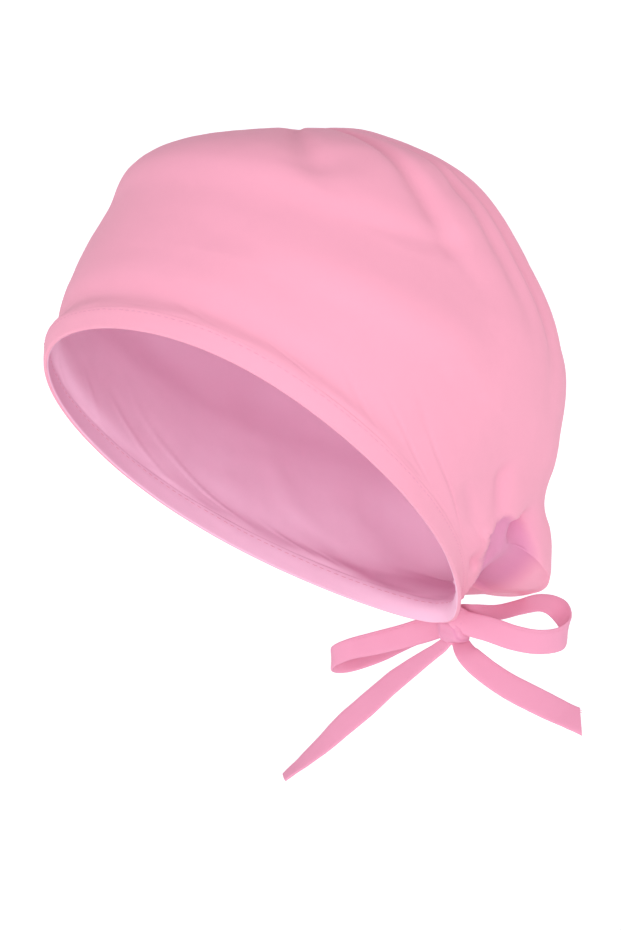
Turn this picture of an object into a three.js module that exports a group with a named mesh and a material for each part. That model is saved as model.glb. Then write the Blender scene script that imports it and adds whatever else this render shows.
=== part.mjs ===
// Soft scrub cap, held in its worn form: gathered crown, rim binding and a bow tied at the nape
// Millimetres, +Z up, the wearer faces -Y, the wearer's left is +X
// The origin lies in the middle of the rim opening, where the head holds the cap
import * as THREE from "three";

// Main sizes
const capLength = 172;
const capHeight = 131;
const capHalfWidth = 76;
const wall = 1.6;
const seatGap = 0.3;

// Rim binding
const bindingProud = 0.5;

// Knot and ties
const knotHalfWidth = 7;
const knotHalfDepth = 4.6;
const knotHalfHeight = 5.6;
const knotOffset = 1.5;
const knotDrop = 2;
const tieWidth = 10;
const tieThickness = 1.5;
const loopReach = 50;
const tailReach = 85;

// Faceting
const around = 88;
const napeCrowding = 0.5;
const loopSteps = 30;
const tailSteps = 16;

const colour = new THREE.Color().setRGB(0.9, 0.45, 0.6);

// Crown sections from the rim to the top, each a tilted oval ring
// frontY and backY are shares of capLength, frontZ and backZ of capHeight
// half, shift and pouchX are shares of capHalfWidth, pouchY of capLength, sag and pouchZ of capHeight
// lean lowers the wearer's right side towards the nape, a share of capHeight
// taper widens the front half, round squares the oval, nose sharpens the front
// the three pouch columns push the back of the ring out over the nape
const sections = [
  { frontY: -0.505, frontZ: 0.421, backY: 0.5, backZ: -0.466, half: 0.986, shift: -0.07, sag: 0.029,
    lean: 0.034, taper: 0.381, round: 0.051, nose: 0.04, pouchX: 0, pouchY: 0, pouchZ: 0 },
  { frontY: -0.497, frontZ: 0.481, backY: 0.515, backZ: -0.406, half: 1.011, shift: -0.076, sag: 0.021,
    lean: 0.034, taper: 0.361, round: 0.051, nose: 0.035, pouchX: 0, pouchY: 0, pouchZ: 0 },
  { frontY: -0.472, frontZ: 0.518, backY: 0.545, backZ: -0.38, half: 1.025, shift: -0.132, sag: -0.003,
    lean: 0.03, taper: 0.25, round: 0.05, nose: 0.03, pouchX: 0.1, pouchY: 0.13, pouchZ: -0.005 },
  { frontY: -0.457, frontZ: 0.587, backY: 0.581, backZ: -0.303, half: 1.06, shift: -0.18, sag: -0.018,
    lean: 0.02, taper: 0.17, round: 0.06, nose: 0.02, pouchX: 0.1, pouchY: 0.134, pouchZ: -0.075 },
  { frontY: -0.431, frontZ: 0.649, backY: 0.632, backZ: -0.145, half: 1.11, shift: -0.158, sag: -0.016,
    lean: 0.01, taper: 0.1, round: 0.04, nose: 0.01, pouchX: 0.06, pouchY: 0.046, pouchZ: -0.015 },
  { frontY: -0.4, frontZ: 0.719, backY: 0.696, backZ: 0.003, half: 1.16, shift: -0.13, sag: -0.002,
    lean: 0, taper: 0.05, round: 0.02, nose: 0, pouchX: 0.03, pouchY: 0.01, pouchZ: 0 },
  { frontY: -0.352, frontZ: 0.818, backY: 0.722, backZ: 0.241, half: 1.12, shift: -0.066, sag: 0.023,
    lean: 0, taper: 0, round: 0, nose: 0, pouchX: 0, pouchY: 0, pouchZ: 0 },
  { frontY: -0.306, frontZ: 0.918, backY: 0.623, backZ: 0.529, half: 1.042, shift: -0.039, sag: 0.033,
    lean: 0, taper: 0, round: 0, nose: 0, pouchX: 0, pouchY: 0, pouchZ: 0 },
  { frontY: -0.213, frontZ: 0.973, backY: 0.455, backZ: 0.826, half: 0.819, shift: -0.013, sag: 0.013,
    lean: 0, taper: 0, round: 0, nose: 0, pouchX: 0, pouchY: 0, pouchZ: 0 },
  { frontY: -0.054, frontZ: 0.997, backY: 0.207, backZ: 0.985, half: 0.39, shift: 0, sag: 0,
    lean: 0, taper: 0, round: 0, nose: 0, pouchX: 0, pouchY: 0, pouchZ: 0 },
  { frontY: 0.078, frontZ: 1.004, backY: 0.078, backZ: 1.004, half: 0, shift: 0, sag: 0,
    lean: 0, taper: 0, round: 0, nose: 0, pouchX: 0, pouchY: 0, pouchZ: 0 }
];
const bindingLevel = 1;
const topLevel = sections.length - 1;

// The pouch has its full push within pouchInner degrees of the nape and none past pouchOuter
// It is narrower on the wearer's right side
const pouchInner = 32;
const pouchOuter = 66;
const pouchFarInner = 6;
const pouchFarOuter = 46;

// Gathers over the back and top, widths in degrees, depths as shares of capHalfWidth
// Each runs from one section level and angle to another, angles in degrees from the front
// far is the share of the depth that the wearer's right side has
const gathers = [
  { fromLevel: 6.6, fromAngle: 46, toLevel: 9.6, toAngle: 26, width: 5.5, depth: 0.04, far: 1 },
  { fromLevel: 6, fromAngle: 84, toLevel: 9.6, toAngle: 62, width: 4.8, depth: 0.05, far: 0.8 },
  { fromLevel: 5.6, fromAngle: 106, toLevel: 9.4, toAngle: 89, width: 4.4, depth: 0.038, far: 0.9 },
  { fromLevel: 5, fromAngle: 122, toLevel: 9, toAngle: 102, width: 4.2, depth: 0.044, far: 1 },
  { fromLevel: 4.8, fromAngle: 138, toLevel: 8.8, toAngle: 117, width: 4.2, depth: 0.036, far: 0.8 },
  { fromLevel: 4.6, fromAngle: 146, toLevel: 8.6, toAngle: 126, width: 4.5, depth: 0.022, far: 1 },
  { fromLevel: 4.8, fromAngle: 160, toLevel: 8.4, toAngle: 146, width: 5, depth: 0.028, far: 0.9 },
  { fromLevel: 5, fromAngle: 178, toLevel: 8.6, toAngle: 170, width: 4, depth: 0.022, far: 1 },
  { fromLevel: 5.2, fromAngle: 82, toLevel: 8, toAngle: 70, width: 13, depth: 0.026, far: 0.9 }
];

// Folds that run into the nape, each along a straight way in space on the wearer's left
// X, width and depth are shares of capHalfWidth, Y of capLength, Z of capHeight
// A negative depth is a ridge, far is the share that the mirrored fold has
const napeFolds = [
  { fromX: 0.697, fromY: 0.459, fromZ: -0.168,
    toX: 0.184, toY: 0.552, toZ: -0.382, width: 0.099, depth: 0.125, far: 0.15 },
  { fromX: 0.75, fromY: 0.32, fromZ: -0.168,
    toX: 0.25, toY: 0.483, toZ: -0.374, width: 0.047, depth: -0.034, far: 0.15 },
  { fromX: 0.868, fromY: 0.308, fromZ: 0,
    toX: 0.579, toY: 0.36, toZ: -0.267, width: 0.066, depth: 0.037, far: 0.15 },
  { fromX: 0.592, fromY: 0.581, fromZ: -0.168,
    toX: 0.289, toY: 0.645, toZ: -0.389, width: 0.066, depth: -0.026, far: 0.2 },
  { fromX: 0.263, fromY: 0.703, fromZ: -0.092,
    toX: 0.079, toY: 0.581, toZ: -0.397, width: 0.072, depth: 0.059, far: 0.2 },
  { fromX: 0.921, fromY: 0.174, fromZ: -0.038,
    toX: 0.474, toY: 0.395, toZ: -0.321, width: 0.053, depth: 0.013, far: 0.3 }
];

// Folds sink towards this point in the hollow and fade out within foldFade levels of the binding
const heartY = 0.2;
const heartZ = 0.1;
const foldFade = 0.3;

// Levels at which the crown is faceted, closest over the folds at the nape
const levels = [1.12, 1.28, 1.46, 1.66, 1.88, 2.12, 2.36, 2.6, 2.85, 3.1, 3.4, 3.7, 4.05, 4.45, 4.9, 5.4,
  5.95, 6.5, 7, 7.5, 8, 8.5, 9, 9.55];

// Binding section: share of the binding's height, share of bindingProud, and which wall face
const bindingSection = [
  { level: 1, proud: 1, face: 0 },
  { level: 0.5, proud: 1.2, face: 0 },
  { level: 0.12, proud: 0.7, face: 0 },
  { level: 0, proud: 0, face: 0.5 },
  { level: 0.12, proud: -0.7, face: 1 },
  { level: 0.5, proud: -1.2, face: 1 },
  { level: 1, proud: -1, face: 1 }
];

// Tie routes from the knot, shares of loopReach or tailReach
// turn twists the band about its run in degrees, width is a share of tieWidth
const leftLoop = [
  { x: 0, y: 0.05, z: 0, turn: 0, width: 0.8 },
  { x: -0.174, y: 0, z: -0.04, turn: 0, width: 1 },
  { x: -0.354, y: -0.092, z: -0.1, turn: 0, width: 0.98 },
  { x: -0.54, y: -0.229, z: -0.16, turn: 0, width: 0.94 },
  { x: -0.7, y: -0.349, z: -0.21, turn: 0, width: 0.85 },
  { x: -0.83, y: -0.395, z: -0.275, turn: 0, width: 0.8 },
  { x: -0.895, y: -0.32, z: -0.352, turn: 0, width: 0.66 },
  { x: -0.835, y: -0.17, z: -0.352, turn: -30, width: 0.6 },
  { x: -0.665, y: -0.045, z: -0.262, turn: -25, width: 0.75 },
  { x: -0.46, y: 0.03, z: -0.14, turn: -10, width: 0.9 },
  { x: -0.245, y: 0.068, z: -0.05, turn: 0, width: 0.9 },
  { x: 0, y: 0.105, z: 0.01, turn: 0, width: 0.75 }
];
const rightLoop = [
  { x: 0, y: -0.02, z: 0.05, turn: 0, width: 0.95 },
  { x: 0.163, y: 0.08, z: 0.002, turn: 0, width: 1 },
  { x: 0.339, y: 0.198, z: -0.065, turn: 0, width: 0.98 },
  { x: 0.459, y: 0.359, z: -0.098, turn: 0, width: 0.96 },
  { x: 0.5, y: 0.555, z: -0.078, turn: 0, width: 0.95 },
  { x: 0.435, y: 0.695, z: 0.01, turn: 15, width: 0.9 },
  { x: 0.3, y: 0.735, z: 0.138, turn: 30, width: 0.9 },
  { x: 0.178, y: 0.66, z: 0.182, turn: 40, width: 0.85 },
  { x: 0.09, y: 0.5, z: 0.148, turn: 40, width: 0.7 },
  { x: 0.03, y: 0.318, z: 0.115, turn: 25, width: 0.65 },
  { x: 0, y: 0.085, z: 0.12, turn: 0, width: 0.7 }
];
const leftTail = [
  { x: -0.028, y: -0.02, z: 0, turn: 70, width: 0.6 },
  { x: -0.089, y: -0.037, z: -0.046, turn: 66, width: 0.64 },
  { x: -0.171, y: -0.075, z: -0.11, turn: 56, width: 0.78 },
  { x: -0.27, y: -0.14, z: -0.2, turn: 50, width: 0.95 },
  { x: -0.36, y: -0.21, z: -0.302, turn: 44, width: 1.03 },
  { x: -0.453, y: -0.282, z: -0.405, turn: 46, width: 1.02 },
  { x: -0.55, y: -0.358, z: -0.522, turn: 56, width: 0.88 },
  { x: -0.683, y: -0.46, z: -0.665, turn: 76, width: 0.55 }
];
const rightTail = [
  { x: 0.03, y: 0.012, z: 0, turn: 0, width: 0.72 },
  { x: 0.093, y: -0.002, z: -0.052, turn: 0, width: 0.97 },
  { x: 0.174, y: 0.027, z: -0.119, turn: 0, width: 1.06 },
  { x: 0.27, y: 0.076, z: -0.186, turn: 0, width: 1.1 },
  { x: 0.377, y: 0.139, z: -0.247, turn: 0, width: 1.14 },
  { x: 0.48, y: 0.197, z: -0.3, turn: 0, width: 1.17 },
  { x: 0.582, y: 0.247, z: -0.345, turn: 0, width: 1.2 }
];

const up = new THREE.Vector3(0, 0, 1);
const across = new THREE.Vector3(0.67, 0.74, 0);

function mix(a, b, share) {
  return a + (b - a) * share;
}

function smooth(from, to, value) {
  const share = Math.min(Math.max((value - from) / (to - from), 0), 1);
  return share * share * (3 - 2 * share);
}

// Smooth curve through a table's rows, column by column
function alongRows(rows, place) {
  const last = rows.length - 1;
  const i = Math.min(Math.max(Math.floor(place), 0), last - 1);
  const u = place - i;
  const before = rows[Math.max(i - 1, 0)];
  const here = rows[i];
  const next = rows[i + 1];
  const after = rows[Math.min(i + 2, last)];
  const row = {};
  for (const key of Object.keys(here)) {
    const leave = (next[key] - before[key]) / 2;
    const arrive = (after[key] - here[key]) / 2;
    row[key] = (2 * u ** 3 - 3 * u ** 2 + 1) * here[key] + (u ** 3 - 2 * u ** 2 + u) * leave
      + (3 * u ** 2 - 2 * u ** 3) * next[key] + (u ** 3 - u ** 2) * arrive;
  }
  return row;
}

// Depth of the gathers at one level and angle, the wearer's right side mirrored
function gatherDepth(level, angle) {
  const degrees = THREE.MathUtils.radToDeg(angle);
  const onFarSide = degrees > 180;
  const place = onFarSide ? 360 - degrees : degrees;
  let depth = 0;
  for (const fold of gathers) {
    const share = (level - fold.fromLevel) / (fold.toLevel - fold.fromLevel);
    if (share <= 0 || share >= 1) {
      continue;
    }
    const centre = mix(fold.fromAngle, fold.toAngle, share);
    const side = Math.exp(-(((place - centre) / fold.width) ** 2));
    const mirrored = Math.exp(-(((360 - place - centre) / fold.width) ** 2));
    const strength = onFarSide ? fold.far : 1;
    depth += fold.depth * strength * Math.sin(Math.PI * share) ** 1.2 * (side + mirrored);
  }
  return depth * capHalfWidth;
}

function inCap(x, y, z) {
  return new THREE.Vector3(x * capHalfWidth, y * capLength, z * capHeight);
}

// Depth of the nape folds at one point, from its distance to each fold's way
function napeDepth(point) {
  let depth = 0;
  for (const fold of napeFolds) {
    for (const side of [1, -1]) {
      const way = new THREE.Line3(
        inCap(side * fold.fromX, fold.fromY, fold.fromZ),
        inCap(side * fold.toX, fold.toY, fold.toZ)
      );
      const nearest = way.closestPointToPoint(point, true, new THREE.Vector3());
      const distance = nearest.distanceTo(point) / (fold.width * capHalfWidth);
      const strength = side > 0 ? 1 : fold.far;
      depth += fold.depth * capHalfWidth * strength * Math.exp(-(distance ** 2));
    }
  }
  return depth;
}

// The crown's smooth outer form without folds
function plainSkin(level, angle) {
  const s = alongRows(sections, level);
  const cos = Math.cos(angle);
  const sin = Math.sin(angle);
  const back = (1 - cos) / 2;
  const off = Math.abs(THREE.MathUtils.radToDeg(angle) - 180);
  const pouch = sin < 0
    ? 1 - smooth(pouchFarInner, pouchFarOuter, off)
    : 1 - smooth(pouchInner, pouchOuter, off);
  const oval = 1 + s.taper * cos - s.round * Math.cos(2 * angle) + s.nose * Math.cos(3 * angle);
  const spread = s.pouchX * pouch * Math.sign(sin) * smooth(0, 30, off);
  const x = (s.half * sin * oval / (1 + s.round) + spread) * capHalfWidth;
  const y = (mix(s.frontY, s.backY, back) + s.pouchY * pouch) * capLength
    + s.shift * sin * sin * capHalfWidth;
  const leaning = s.lean * Math.min(sin, 0) * back ** 1.5;
  const z = (mix(s.frontZ, s.backZ, back) - s.sag * sin * sin + leaning + s.pouchZ * pouch) * capHeight;
  return new THREE.Vector3(x, y, z);
}

function outward(skin, level, angle) {
  const step = 0.02;
  const low = Math.max(level - step, 0);
  const high = Math.min(level + step, topLevel - 0.01);
  const rise = skin(high, angle).sub(skin(low, angle));
  const turn = skin(level, angle + step).sub(skin(level, angle - step));
  return turn.cross(rise).normalize();
}

// The crown's outer form with its gathers and folds
function skin(level, angle) {
  const point = plainSkin(level, angle);
  const depth = gatherDepth(level, angle) + napeDepth(point);
  const inward = inCap(0, heartY, heartZ).sub(point).normalize();
  return point.addScaledVector(inward, depth * smooth(bindingLevel, bindingLevel + foldFade, level));
}

// Angles round the cap, crowded towards the nape
function ringAngles() {
  const angles = [];
  for (let i = 0; i < around; i++) {
    const even = (2 * Math.PI * i) / around;
    angles.push(even + napeCrowding * Math.sin(even));
  }
  return angles;
}

// One closed body from rings of points, each ring joined to the next
function ringBody(rings, closedLoop, startTip, endTip) {
  const count = rings[0].length;
  const points = rings.flat();
  const faces = [];
  const bands = closedLoop ? rings.length : rings.length - 1;
  for (let r = 0; r < bands; r++) {
    const a = r * count;
    const b = ((r + 1) % rings.length) * count;
    for (let i = 0; i < count; i++) {
      const j = (i + 1) % count;
      faces.push(a + i, a + j, b + j, a + i, b + j, b + i);
    }
  }
  if (startTip) {
    points.push(startTip);
    for (let i = 0; i < count; i++) {
      faces.push(points.length - 1, (i + 1) % count, i);
    }
  }
  if (endTip) {
    const base = (rings.length - 1) * count;
    points.push(endTip);
    for (let i = 0; i < count; i++) {
      faces.push(base + i, base + ((i + 1) % count), points.length - 1);
    }
  }
  const flat = new Float32Array(points.length * 3);
  points.forEach((p, i) => p.toArray(flat, i * 3));
  const geometry = new THREE.BufferGeometry();
  geometry.setAttribute("position", new THREE.BufferAttribute(flat, 3));
  geometry.setIndex(faces);
  geometry.computeVertexNormals();
  return geometry;
}

// Crown: outer rings up to the top, then inner rings back down to the edge
function makeCrown() {
  const angles = ringAngles();
  const outer = [];
  const inner = [];
  const edge = angles.map((angle) => {
    const start = skin(bindingLevel, angle);
    const way = skin(bindingLevel + 0.1, angle).sub(start).normalize();
    return start.addScaledVector(way, seatGap);
  });
  outer.push(edge);
  inner.push(edge.map((p, i) => p.clone().addScaledVector(outward(skin, bindingLevel, angles[i]), -wall)));
  for (const level of levels) {
    outer.push(angles.map((angle) => skin(level, angle)));
    inner.push(angles.map((angle) => {
      return skin(level, angle).addScaledVector(outward(skin, level, angle), -wall);
    }));
  }
  const top = plainSkin(topLevel, 0);
  const under = top.clone();
  under.z -= wall;
  const rings = [...inner.reverse(), ...outer];
  return ringBody(rings, false, under, top);
}

// Rim binding: a folded band along the whole rim
function makeBinding() {
  const rings = bindingSection.map((row) => ringAngles().map((angle) => {
    const level = row.level * bindingLevel;
    const lift = row.proud * bindingProud - row.face * wall;
    return plainSkin(level, angle).addScaledVector(outward(plainSkin, level, angle), lift);
  }));
  return ringBody(rings.reverse(), true, null, null);
}

// Knot: a rounded block behind the nape of the rim
function knotCentre() {
  const nape = plainSkin(0, Math.PI);
  const proudFace = 1.2 * bindingProud;
  return new THREE.Vector3(knotOffset, nape.y + proudFace + seatGap + knotHalfDepth, nape.z - knotDrop);
}

function roundPower(value, power) {
  return Math.sign(value) * Math.abs(value) ** power;
}

function makeKnot() {
  const centre = knotCentre();
  const rings = [];
  const rows = 8;
  const spokes = 16;
  for (let r = 1; r < rows; r++) {
    const lift = -Math.PI / 2 + (Math.PI * r) / rows;
    const ring = [];
    for (let i = 0; i < spokes; i++) {
      const turn = (2 * Math.PI * i) / spokes;
      const flat = roundPower(Math.cos(lift), 0.55);
      ring.push(new THREE.Vector3(
        centre.x + knotHalfWidth * flat * roundPower(Math.cos(turn), 0.55),
        centre.y + knotHalfDepth * flat * roundPower(Math.sin(turn), 0.7),
        centre.z + knotHalfHeight * roundPower(Math.sin(lift), 0.55)
      ));
    }
    rings.push(ring);
  }
  const low = centre.clone();
  low.z -= knotHalfHeight;
  const high = centre.clone();
  high.z += knotHalfHeight;
  return ringBody(rings, false, low, high);
}

// Flat tie band along a route; its ends stand square to startWay and endWay
// endCut slants a free end, it is the direction that the cut faces
function makeBand(route, anchor, reach, reference, steps, startWay, endWay, endCut) {
  const places = [];
  for (let i = 0; i <= steps; i++) {
    places.push(((route.length - 1) * i) / steps);
  }
  const at = (place) => {
    const row = alongRows(route, place);
    return new THREE.Vector3(row.x, row.y, row.z).multiplyScalar(reach).add(anchor);
  };
  const rings = places.map((place, i) => {
    const row = alongRows(route, place);
    const way = at(Math.min(place + 0.05, route.length - 1)).sub(at(Math.max(place - 0.05, 0))).normalize();
    if (i === 0 && startWay) {
      way.copy(startWay);
    }
    if (i === steps && endWay) {
      way.copy(endWay);
    }
    const side = reference.clone().addScaledVector(way, -reference.dot(way)).normalize();
    side.applyAxisAngle(way, THREE.MathUtils.degToRad(row.turn));
    const face = way.clone().cross(side);
    const halfWidth = (tieWidth * row.width) / 2;
    const corners = [[1, 1], [-1, 1], [-1, -1], [1, -1]];
    const slide = i === steps && endCut ? halfWidth * side.dot(endCut) / way.dot(endCut) : 0;
    return corners.map(([w, t]) => at(place)
      .addScaledVector(side, w * halfWidth)
      .addScaledVector(face, (t * tieThickness) / 2)
      .addScaledVector(way, -w * slide));
  });
  const start = at(0);
  const end = at(route.length - 1);
  return ringBody(rings, false, start, end);
}

function anchorAt(x, y, z) {
  return knotCentre().add(new THREE.Vector3(x, y, z));
}

const loopAnchor = knotHalfWidth + seatGap;
const tailAnchor = -(knotHalfHeight + seatGap);
const left = new THREE.Vector3(-1, 0, 0);
const right = new THREE.Vector3(1, 0, 0);
const down = new THREE.Vector3(0, 0, -1);
const cutWay = across.clone().normalize();

const pieces = {
  crown: makeCrown(),
  rim_binding: makeBinding(),
  knot: makeKnot(),
  loop_left: makeBand(leftLoop, anchorAt(-loopAnchor, 0, 0), loopReach, up, loopSteps, left, right),
  loop_right: makeBand(rightLoop, anchorAt(loopAnchor, 0, 0), loopReach, up, loopSteps, right, left),
  tail_left: makeBand(leftTail, anchorAt(0, 0, tailAnchor), tailReach, across, tailSteps, down, null),
  tail_right: makeBand(rightTail, anchorAt(0, 0, tailAnchor), tailReach, across, tailSteps, down, null,
    cutWay)
};

const group = new THREE.Group();
group.name = "scrub_cap";
for (const [name, geometry] of Object.entries(pieces)) {
  const material = new THREE.MeshStandardMaterial({ color: colour, roughness: 0.9, metalness: 0 });
  const mesh = new THREE.Mesh(geometry, material);
  mesh.name = name;
  group.add(mesh);
}

export default group;
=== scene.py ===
"""Soft scrub cap held in its worn form: gathered crown, rim band and a bow tied at the nape."""

import logging
import math
from dataclasses import dataclass
from enum import Enum
from typing import Optional, Sequence, Union

import bpy
import numpy as np
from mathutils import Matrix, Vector


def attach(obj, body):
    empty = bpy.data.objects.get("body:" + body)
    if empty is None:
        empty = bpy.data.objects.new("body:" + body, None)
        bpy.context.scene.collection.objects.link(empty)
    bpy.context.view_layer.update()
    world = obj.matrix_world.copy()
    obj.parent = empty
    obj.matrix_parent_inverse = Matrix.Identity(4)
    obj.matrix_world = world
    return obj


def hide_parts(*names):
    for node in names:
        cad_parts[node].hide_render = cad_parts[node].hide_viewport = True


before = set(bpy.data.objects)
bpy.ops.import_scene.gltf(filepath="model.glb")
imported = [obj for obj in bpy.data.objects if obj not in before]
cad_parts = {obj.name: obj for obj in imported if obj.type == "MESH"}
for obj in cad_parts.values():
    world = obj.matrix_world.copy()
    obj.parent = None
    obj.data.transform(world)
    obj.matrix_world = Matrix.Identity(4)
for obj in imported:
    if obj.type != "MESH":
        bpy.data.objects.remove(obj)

log = logging.getLogger("scrub_cap")
logging.basicConfig(level=logging.INFO, format="%(name)s: %(message)s")

METRES = 0.001
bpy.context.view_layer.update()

UP = np.array([0.0, 0.0, 1.0])
ACROSS = np.array([0.67, 0.74, 0.0])
LEFT = np.array([-1.0, 0.0, 0.0])
RIGHT = np.array([1.0, 0.0, 0.0])
DOWN = np.array([0.0, 0.0, -1.0])


class End(Enum):
    """How a tie ends away from the knot."""

    BARE = "bare"
    KNOT = "knot"


class Face(Enum):
    """Which face of a cloth wall something lies on."""

    OUTER = 1
    INNER = -1


# Sizes, in millimetres


@dataclass(frozen=True)
class CapSizes:
    """Main sizes of the crown and the band along its rim."""

    length: float = 172.0
    height: float = 131.0
    half_width: float = 76.0
    wall: float = 1.6
    seat_gap: float = 0.3
    cad_proud: float = 0.5
    band_proud: float = 0.14
    pouch_inner: float = 32.0
    pouch_outer: float = 66.0
    pouch_far_inner: float = 6.0
    pouch_far_outer: float = 46.0
    heart: tuple = (0.0, 0.2, 0.1)
    fold_fade: float = 0.3
    tuck_depth: float = 2.6
    tuck_reach: float = 34.0
    crowding: float = 0.5


@dataclass(frozen=True)
class TieSizes:
    """Main sizes of the knot and the ties."""

    knot_half: tuple = (7.0, 4.6, 5.6)
    knot_offset: float = 1.5
    knot_drop: float = 2.0
    width: float = 10.0
    thickness: float = 1.4
    loop_reach: float = 50.0
    tail_reach: float = 85.0


@dataclass(frozen=True)
class StitchSizes:
    """One run of top stitching."""

    spacing: float = 3.1
    length: float = 2.3
    thickness: float = 0.36
    jitter: float = 0.06
    seed: int = 7


CAP = CapSizes()
TIE = TieSizes()
SPREAD = np.array([CAP.half_width, CAP.length, CAP.height])

# Crown sections from the rim to the top, shares of the main sizes
# Columns: frontY frontZ backY backZ half shift sag lean taper round nose pouchX pouchY pouchZ
SECTIONS = np.array([
    (-0.505, 0.421, 0.5, -0.466, 0.986, -0.07, 0.029, 0.034, 0.381, 0.051, 0.04, 0, 0, 0),
    (-0.497, 0.481, 0.515, -0.406, 1.011, -0.076, 0.021, 0.034, 0.361, 0.051, 0.035, 0, 0, 0),
    (-0.472, 0.518, 0.545, -0.38, 1.025, -0.132, -0.003, 0.03, 0.25, 0.05, 0.03, 0.1, 0.13, -0.005),
    (-0.457, 0.587, 0.581, -0.303, 1.06, -0.18, -0.018, 0.02, 0.17, 0.06, 0.02, 0.1, 0.134, -0.075),
    (-0.431, 0.649, 0.632, -0.145, 1.11, -0.158, -0.016, 0.01, 0.1, 0.04, 0.01, 0.06, 0.046, -0.015),
    (-0.4, 0.719, 0.696, 0.003, 1.16, -0.13, -0.002, 0, 0.05, 0.02, 0, 0.03, 0.01, 0),
    (-0.352, 0.818, 0.722, 0.241, 1.12, -0.066, 0.023, 0, 0, 0, 0, 0, 0, 0),
    (-0.306, 0.918, 0.623, 0.529, 1.042, -0.039, 0.033, 0, 0, 0, 0, 0, 0, 0),
    (-0.213, 0.973, 0.455, 0.826, 0.819, -0.013, 0.013, 0, 0, 0, 0, 0, 0, 0),
    (-0.054, 0.997, 0.207, 0.985, 0.39, 0, 0, 0, 0, 0, 0, 0, 0, 0),
    (0.078, 1.004, 0.078, 1.004, 0, 0, 0, 0, 0, 0, 0, 0, 0, 0),
])
BAND_LEVEL = 1.0
TOP_LEVEL = len(SECTIONS) - 1

# Gathers. Columns: fromLevel fromAngle toLevel toAngle width(degrees) depth(share) far(share)
GATHERS = (
    (6.6, 46, 9.6, 26, 5.5, 0.04, 1),
    (6, 84, 9.6, 62, 4.8, 0.05, 0.8),
    (5.6, 106, 9.4, 89, 4.4, 0.038, 0.9),
    (5, 122, 9, 102, 4.2, 0.044, 1),
    (4.8, 138, 8.8, 117, 4.2, 0.036, 0.8),
    (4.6, 146, 8.6, 126, 4.5, 0.022, 1),
    (4.8, 160, 8.4, 146, 5, 0.028, 0.9),
    (5, 178, 8.6, 170, 4, 0.022, 1),
    (5.2, 82, 8, 70, 13, 0.026, 0.9),
)

# Folds into the nape. Columns: from x y z, to x y z, width, depth, far, all shares
NAPE_FOLDS = (
    (0.697, 0.459, -0.168, 0.184, 0.552, -0.382, 0.099, 0.125, 0.15),
    (0.75, 0.32, -0.168, 0.25, 0.483, -0.374, 0.047, -0.034, 0.15),
    (0.868, 0.308, 0, 0.579, 0.36, -0.267, 0.066, 0.037, 0.15),
    (0.592, 0.581, -0.168, 0.289, 0.645, -0.389, 0.066, -0.026, 0.2),
    (0.263, 0.703, -0.092, 0.079, 0.581, -0.397, 0.072, 0.059, 0.2),
    (0.921, 0.174, -0.038, 0.474, 0.395, -0.321, 0.053, 0.013, 0.3),
)

# Corners of the sharp-edged tuck beside the nape, shares of the main sizes
# Columns: x y z, softness in millimetres of the edge that leads to the next corner
TUCK = np.array([
    (0.781, 0.307, -0.171, 0.8),
    (0.192, 0.485, -0.383, 1.2),
    (0.066, 0.628, -0.383, 6.0),
    (0.657, 0.508, -0.189, 2.0),
    (0.787, 0.367, -0.111, 1.8),
])

# Fine pull lines and soft dents that the solid leaves out
# Columns: fromLevel fromAngle toLevel toAngle width(degrees) depth(mm) far(share)
CREASES = (
    (2.9, 65, 1.2, 76, 1.1, 0.34, 0.7),
    (3.0, 77, 1.15, 97, 1.0, 0.42, 0.9),
    (3.7, 81, 1.5, 112, 1.2, 0.36, 0.8),
    (2.6, 96, 1.2, 118, 0.9, 0.4, 1),
    (2.2, 118, 1.1, 133, 0.9, 0.5, 0.8),
    (2.0, 128, 1.1, 141, 0.9, -0.4, 0.9),
    (1.9, 44, 1.15, 60, 1.4, 0.25, 0.8),
    (2.1, 18, 1.2, 30, 1.6, 0.22, 1),
    (6.1, 60, 7.1, 92, 9, 1.5, 0.6),
    (7.4, 88, 8.1, 104, 8, 1.2, 0.7),
    (7.0, 42, 8.0, 58, 8, 1.0, 0.8),
    (4.2, 30, 5.6, 22, 12, 0.8, 0.6),
    (4.4, 104, 5.8, 92, 9, 0.9, 0.8),
)

# Tie routes from the knot. Columns: x y z as shares of the reach, turn in degrees, width(share)
# The ends of each route that lie inside the knot have their own short tables
LEFT_LOOP = np.array([
    (0, 0.05, 0, 0, 0.8),
    (-0.174, 0, -0.04, 0, 1),
    (-0.354, -0.092, -0.1, 0, 0.98),
    (-0.54, -0.229, -0.16, 0, 0.94),
    (-0.7, -0.349, -0.21, 0, 0.85),
    (-0.83, -0.395, -0.275, 0, 0.8),
    (-0.895, -0.32, -0.352, 0, 0.66),
    (-0.835, -0.17, -0.352, -30, 0.6),
    (-0.665, -0.045, -0.262, -25, 0.75),
    (-0.46, 0.03, -0.14, -10, 0.9),
    (-0.245, 0.068, -0.05, 0, 0.9),
    (0, 0.105, 0.01, 0, 0.75),
])
RIGHT_LOOP = np.array([
    (0, -0.02, 0.05, 0, 0.95),
    (0.163, 0.08, 0.002, 0, 1),
    (0.339, 0.198, -0.065, 0, 0.98),
    (0.459, 0.359, -0.098, 0, 0.96),
    (0.5, 0.555, -0.078, 0, 0.95),
    (0.435, 0.695, 0.01, 15, 0.9),
    (0.3, 0.735, 0.138, 30, 0.9),
    (0.178, 0.66, 0.182, 40, 0.85),
    (0.09, 0.5, 0.148, 40, 0.7),
    (0.03, 0.318, 0.115, 25, 0.65),
    (0, 0.085, 0.12, 0, 0.7),
])
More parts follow.
